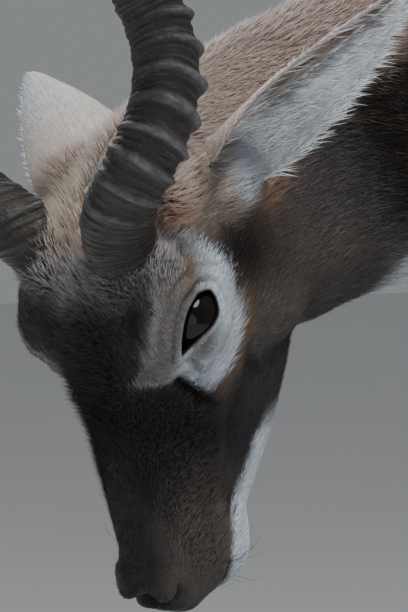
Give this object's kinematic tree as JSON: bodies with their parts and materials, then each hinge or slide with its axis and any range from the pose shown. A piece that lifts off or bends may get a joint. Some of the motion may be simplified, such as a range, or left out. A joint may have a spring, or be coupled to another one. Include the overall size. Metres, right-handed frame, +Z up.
{
  "type": "blackbuck",
  "caption": "Life-size standing male blackbuck with lowered head, spiral ringed horns, spread ears and split hooves.",
  "frame": {"origin": "on the floor, under the middle of the animal's bounding box", "axes": "-Y is where the animal faces, +X is its left, +Z is up"},
  "size_m": [0.476, 1.2396, 0.9199],
  "materials": {
    "dark_coat": "short dark brown-black fur",
    "fawn_coat": "short fawn fur",
    "white_coat": "short white fur",
    "horn": "dark grey-brown horn, satin, ringed",
    "hoof": "black hoof horn, satin",
    "eye": "wet, near black"
  },
  "bodies": {
    "root": {"head": "dark_coat", "neck": "fawn_coat", "torso": "dark_coat", "tail": "fawn_coat", "ear_left": "white_coat", "ear_right": "white_coat", "eye_left": "eye", "eye_right": "eye", "horn_left": "horn", "horn_right": "horn", "leg_front_left_upper": "white_coat", "leg_front_left_lower": "white_coat", "claw_front_left_outer": "hoof", "claw_front_left_inner": "hoof", "leg_front_right_upper": "white_coat", "leg_front_right_lower": "white_coat", "claw_front_right_outer": "hoof", "claw_front_right_inner": "hoof", "leg_hind_left_upper": "white_coat", "leg_hind_left_lower": "white_coat", "claw_hind_left_outer": "hoof", "claw_hind_left_inner": "hoof", "leg_hind_right_upper": "white_coat", "leg_hind_right_lower": "white_coat", "claw_hind_right_outer": "hoof", "claw_hind_right_inner": "hoof"}
  },
  "joints": []
}
